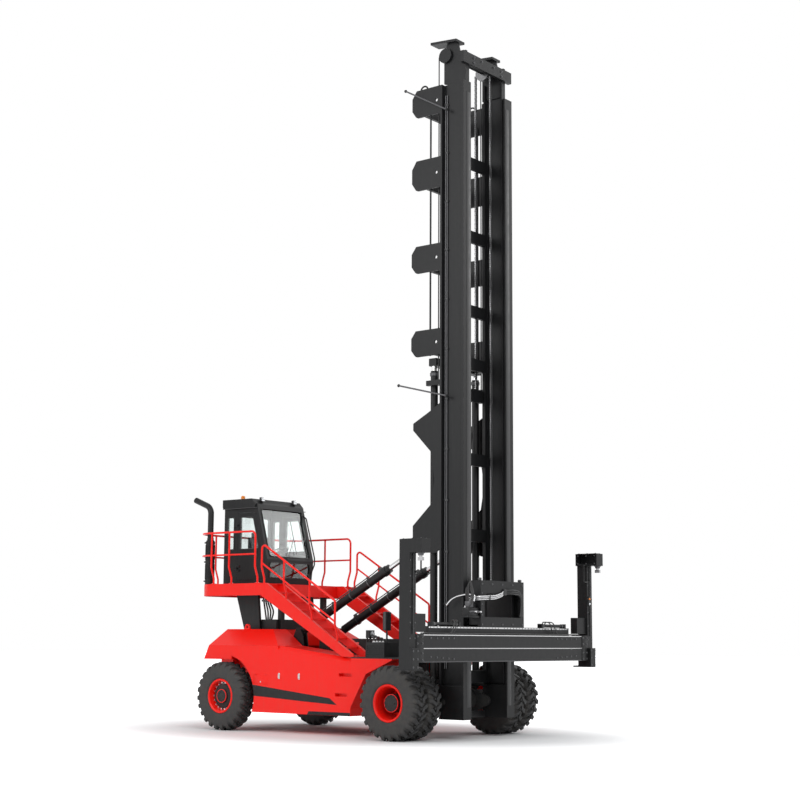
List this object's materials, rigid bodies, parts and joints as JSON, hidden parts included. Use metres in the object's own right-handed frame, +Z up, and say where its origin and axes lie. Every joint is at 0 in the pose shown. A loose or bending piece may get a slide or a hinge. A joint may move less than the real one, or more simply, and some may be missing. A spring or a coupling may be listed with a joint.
{
  "type": "empty container handler",
  "caption": "Counterweighted lift truck for empty shipping containers: tall two-stage mast, side-lift telescopic spreader, raised rear cab and twin drive wheels.",
  "frame": {"origin": "on the ground, straight below the middle of the drive axle", "axes": "+X forward, towards the mast and spreader; +Y to the machine's left; +Z up"},
  "size_m": [7.4726, 6, 13.69],
  "materials": {
    "red_paint": "satin enamel",
    "mast_grey": "satin enamel",
    "black_paint": "semi-matte enamel",
    "tyre": "matte",
    "rim": "satin enamel",
    "rod": "polished",
    "chain": "oiled",
    "cast": "rough",
    "steel": "worn",
    "exhaust_steel": "heat-tinted",
    "seat": "matte",
    "glass": "clear",
    "orange_lens": "gloss",
    "hose": "matte"
  },
  "bodies": {
    "chassis": {"beacon": "orange_lens", "body_left": "red_paint", "body_right": "red_paint", "cab_glass": "glass", "cab_interior": "seat", "cab_shell": "black_paint", "cab_support": "mast_grey", "chassis_frame": "mast_grey", "counterweight": "red_paint", "deck": "red_paint", "deck_equipment": "black_paint", "drive_axle": "cast", "engine_block": "cast", "engine_hood": "black_paint", "exhaust": "exhaust_steel", "handrails": "red_paint", "platform": "red_paint", "rear_hood": "red_paint", "stair_rails": "red_paint", "stairs": "red_paint", "steer_axle": "cast"},
    "outer_mast": {"outer_mast": "mast_grey", "lift_barrels": "black_paint"},
    "inner_mast": {"inner_mast": "mast_grey", "lift_rods": "rod", "mast_sheaves": "steel", "front_chains": "chain", "rear_chains": "chain", "mast_hoses": "hose"},
    "carriage": {"carriage": "mast_grey"},
    "spreader": {"spreader_beam": "mast_grey"},
    "door_left": {"cab_door_left": "black_paint", "door_glass_left": "glass"},
    "drive_wheels_left": {"drive_tyres_left": "tyre", "drive_rims_left": "rim"},
    "knuckle_left": {"knuckle_left": "cast"},
    "steer_wheel_left": {"steer_tyre_left": "tyre", "steer_rim_left": "rim"},
    "arm_left": {"spreader_arm_left": "mast_grey"},
    "twistlock_left": {"twistlock_left": "steel"},
    "tilt_barrel_left": {"tilt_barrel_left": "mast_grey"},
    "tilt_rod_left": {"tilt_rod_left": "rod"},
    "door_right": {"cab_door_right": "black_paint", "door_glass_right": "glass"},
    "drive_wheels_right": {"drive_tyres_right": "tyre", "drive_rims_right": "rim"},
    "knuckle_right": {"knuckle_right": "cast"},
    "steer_wheel_right": {"steer_tyre_right": "tyre", "steer_rim_right": "rim"},
    "arm_right": {"spreader_arm_right": "mast_grey"},
    "twistlock_right": {"twistlock_right": "steel"},
    "tilt_barrel_right": {"tilt_barrel_right": "mast_grey"},
    "tilt_rod_right": {"tilt_rod_right": "rod"}
  },
  "joints": [
    {"name": "door_right", "type": "hinge", "parent": "chassis", "child": "door_right", "pos_m": [-5.15, -0.736, 3.3], "axis": [0, 0, -1], "range_deg": [0, 45]},
    {"name": "drive_wheels_right", "type": "hinge", "parent": "chassis", "child": "drive_wheels_right", "pos_m": [0, -1.5975, 0.684], "axis": [0, 1, 0], "continuous": true},
    {"name": "steer_right", "type": "hinge", "parent": "chassis", "child": "knuckle_right", "pos_m": [-4.7, -1.05, 0.684], "axis": [0, 0, 1], "range_deg": [-50, 50]},
    {"name": "steer_wheel_right", "type": "hinge", "parent": "knuckle_right", "child": "steer_wheel_right", "pos_m": [-4.7, -1.4125, 0.684], "axis": [0, 1, 0], "continuous": true},
    {"name": "door_left", "type": "hinge", "parent": "chassis", "child": "door_left", "pos_m": [-5.15, 0.736, 3.3], "axis": [0, 0, 1], "range_deg": [0, 45]},
    {"name": "drive_wheels_left", "type": "hinge", "parent": "chassis", "child": "drive_wheels_left", "pos_m": [0, 1.5975, 0.684], "axis": [0, 1, 0], "continuous": true},
    {"name": "steer_left", "type": "hinge", "parent": "chassis", "child": "knuckle_left", "pos_m": [-4.7, 1.05, 0.684], "axis": [0, 0, 1], "range_deg": [-50, 50]},
    {"name": "steer_wheel_left", "type": "hinge", "parent": "knuckle_left", "child": "steer_wheel_left", "pos_m": [-4.7, 1.4125, 0.684], "axis": [0, 1, 0], "continuous": true},
    {"name": "mast_tilt", "type": "hinge", "parent": "chassis", "child": "outer_mast", "pos_m": [0.4, 0, 0.684], "axis": [0, 1, 0], "range_deg": [-5, 3]},
    {"name": "mast_lift", "type": "slide", "parent": "outer_mast", "child": "inner_mast", "axis": [0, 0, 1], "range_m": [0, 5.6], "deforming": ["rear_chains", "mast_hoses"]},
    {"name": "carriage_lift", "type": "slide", "parent": "inner_mast", "child": "carriage", "axis": [0, 0, 1], "range_m": [0, 5.6], "deforming": ["front_chains"]},
    {"name": "side_shift", "type": "slide", "parent": "carriage", "child": "spreader", "axis": [0, 1, 0], "range_m": [-0.5, 0.5]},
    {"name": "spread_right", "type": "slide", "parent": "spreader", "child": "arm_right", "axis": [0, -1, 0], "range_m": [0, 3.067]},
    {"name": "twistlock_right", "type": "hinge", "parent": "arm_right", "child": "twistlock_right", "pos_m": [1.49, -2.9265, 3.3], "axis": [0, 0, 1], "range_deg": [0, 90]},
    {"name": "tilt_barrel_right", "type": "hinge", "parent": "chassis", "child": "tilt_barrel_right", "pos_m": [-3.4, -0.6, 1.97], "axis": [0, 1, 0], "range_deg": [-1.55, 1.05]},
    {"name": "tilt_rod_right", "type": "slide", "parent": "tilt_barrel_right", "child": "tilt_rod_right", "axis": [0.8809, 0, 0.4733], "range_m": [-0.2608, 0.1585]},
    {"name": "spread_left", "type": "slide", "parent": "spreader", "child": "arm_left", "axis": [0, 1, 0], "range_m": [0, 3.067]},
    {"name": "twistlock_left", "type": "hinge", "parent": "arm_left", "child": "twistlock_left", "pos_m": [1.49, 2.9265, 3.3], "axis": [0, 0, 1], "range_deg": [0, 90]},
    {"name": "tilt_barrel_left", "type": "hinge", "parent": "chassis", "child": "tilt_barrel_left", "pos_m": [-3.4, 0.6, 1.97], "axis": [0, 1, 0], "range_deg": [-1.55, 1.05]},
    {"name": "tilt_rod_left", "type": "slide", "parent": "tilt_barrel_left", "child": "tilt_rod_left", "axis": [0.8809, 0, 0.4733], "range_m": [-0.2608, 0.1585]}
  ],
  "couplings": [
    {"joint": "steer_left", "follows": "steer_right", "ratio": 1},
    {"joint": "carriage_lift", "follows": "mast_lift", "ratio": 1},
    {"joint": "spread_left", "follows": "spread_right", "ratio": 1},
    {"joint": "twistlock_left", "follows": "twistlock_right", "ratio": 1},
    {"joint": "tilt_barrel_right", "follows": "mast_tilt", "ratio": 0.25073},
    {"joint": "tilt_rod_right", "follows": "mast_tilt", "m_per_rad": 2.9313},
    {"joint": "tilt_barrel_left", "follows": "mast_tilt", "ratio": 0.25073},
    {"joint": "tilt_rod_left", "follows": "mast_tilt", "m_per_rad": 2.9313}
  ]
}
